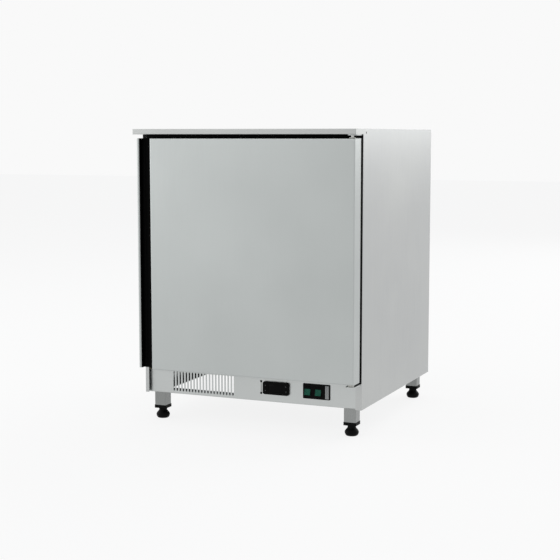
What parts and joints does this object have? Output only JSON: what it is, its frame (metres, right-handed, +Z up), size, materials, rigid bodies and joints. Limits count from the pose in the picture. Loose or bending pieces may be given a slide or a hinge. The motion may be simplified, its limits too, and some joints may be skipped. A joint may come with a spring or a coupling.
{
  "type": "undercounter freezer",
  "caption": "Undercounter freezer with a hinged insulated door, full-height grip, fixed evaporator shelves, slotted base with controller and rocker switches, and screw feet.",
  "frame": {"origin": "on the floor, under the middle of the outline seen from above", "axes": "+X to the right seen from the front, +Y to the back, +Z up; the door faces -Y"},
  "size_m": [0.675, 0.7, 0.85],
  "materials": {
    "alu": "bare aluminium",
    "black_paint": "black enamelled steel",
    "black_plastic": "satin black plastic",
    "board": "moisture resistant board",
    "coated": "white coated steel",
    "copper": "copper tube",
    "foam": "rigid insulating foam",
    "galvanised": "galvanised sheet, dull",
    "gasket": "dark grey soft gasket",
    "green_plastic": "dark green clear plastic",
    "grey_plastic": "light grey plastic",
    "rubber": "black rubber",
    "stainless": "satin brushed stainless steel",
    "steel": "zinc plated steel",
    "white_plastic": "smooth white plastic"
  },
  "bodies": {
    "cabinet": {"worktop": "stainless", "worktop_core": "board", "side_panel_left": "stainless", "side_panel_right": "stainless", "back_panel": "galvanised", "inner_tank": "white_plastic", "underside_skin": "galvanised", "breaker_frame": "black_plastic", "cabinet_insulation": "foam", "plinth": "stainless", "base_frame": "galvanised", "leg_tubes": "stainless", "leg_bolts": "steel", "leg_inserts": "black_plastic", "hinge_plates": "stainless", "hinge_pins": "steel", "controller_bezel": "black_plastic", "controller_display": "black_plastic", "controller_case": "black_plastic", "switch_frame": "black_plastic", "evaporator_coil": "coated", "shelf_wires_low": "coated", "shelf_wires_middle": "coated", "shelf_wires_high": "coated", "shelf_rails": "white_plastic", "temperature_probe": "grey_plastic", "pipe_sleeves": "rubber", "drain_pipe": "grey_plastic", "unit_tray": "galvanised", "compressor": "black_paint", "compressor_feet": "rubber", "condenser": "alu", "fan_shroud": "galvanised", "motor_bracket": "galvanised", "fan_motor": "black_paint", "evaporation_tray": "black_plastic", "filter_drier": "copper", "copper_pipes": "copper", "rear_grille": "galvanised", "power_inlet": "black_plastic"},
    "door": {"door_skin": "stainless", "door_insulation": "foam", "door_inner_panel": "white_plastic", "door_gasket": "gasket", "grip_profile": "black_plastic", "nose_trim": "stainless", "door_stiffeners": "steel", "door_bushes": "white_plastic"},
    "fan_rotor": {"fan": "alu", "fan_shaft": "steel"},
    "button_left_low_key": {"button_left_low": "black_plastic"},
    "button_left_high_key": {"button_left_high": "black_plastic"},
    "button_right_low_key": {"button_right_low": "black_plastic"},
    "button_right_high_key": {"button_right_high": "black_plastic"},
    "rocker_left_switch": {"rocker_left": "green_plastic"},
    "rocker_right_switch": {"rocker_right": "green_plastic"},
    "foot_front_left_screw": {"foot_front_left": "black_plastic"},
    "foot_front_right_screw": {"foot_front_right": "black_plastic"},
    "foot_rear_left_screw": {"foot_rear_left": "black_plastic"},
    "foot_rear_right_screw": {"foot_rear_right": "black_plastic"}
  },
  "joints": [
    {"name": "door_hinge", "type": "hinge", "parent": "cabinet", "child": "door", "pos_m": [0.32, -0.328, 0.5], "axis": [0, 0, 1], "range_deg": [0, 110]},
    {"name": "fan_spin", "type": "hinge", "parent": "cabinet", "child": "fan_rotor", "pos_m": [-0.184, 0.187, 0.182], "axis": [0, 1, 0], "continuous": true},
    {"name": "button_left_low_press", "type": "slide", "parent": "cabinet", "child": "button_left_low_key", "axis": [0, 1, 0], "range_m": [0, 0.0008], "stiffness_N_per_m": 1250, "springref_m": -0.0008},
    {"name": "button_left_high_press", "type": "slide", "parent": "cabinet", "child": "button_left_high_key", "axis": [0, 1, 0], "range_m": [0, 0.0008], "stiffness_N_per_m": 1250, "springref_m": -0.0008},
    {"name": "button_right_low_press", "type": "slide", "parent": "cabinet", "child": "button_right_low_key", "axis": [0, 1, 0], "range_m": [0, 0.0008], "stiffness_N_per_m": 1250, "springref_m": -0.0008},
    {"name": "button_right_high_press", "type": "slide", "parent": "cabinet", "child": "button_right_high_key", "axis": [0, 1, 0], "range_m": [0, 0.0008], "stiffness_N_per_m": 1250, "springref_m": -0.0008},
    {"name": "rocker_left_tilt", "type": "hinge", "parent": "cabinet", "child": "rocker_left_switch", "pos_m": [0.174, -0.278, 0.1205], "axis": [1, 0, 0], "range_deg": [0, 16]},
    {"name": "rocker_right_tilt", "type": "hinge", "parent": "cabinet", "child": "rocker_right_switch", "pos_m": [0.206, -0.278, 0.1205], "axis": [1, 0, 0], "range_deg": [0, 16]},
    {"name": "foot_front_left_height", "type": "slide", "parent": "cabinet", "child": "foot_front_left_screw", "axis": [0, 0, -1], "range_m": [0, 0.02]},
    {"name": "foot_front_right_height", "type": "slide", "parent": "cabinet", "child": "foot_front_right_screw", "axis": [0, 0, -1], "range_m": [0, 0.02]},
    {"name": "foot_rear_left_height", "type": "slide", "parent": "cabinet", "child": "foot_rear_left_screw", "axis": [0, 0, -1], "range_m": [0, 0.02]},
    {"name": "foot_rear_right_height", "type": "slide", "parent": "cabinet", "child": "foot_rear_right_screw", "axis": [0, 0, -1], "range_m": [0, 0.02]}
  ]
}
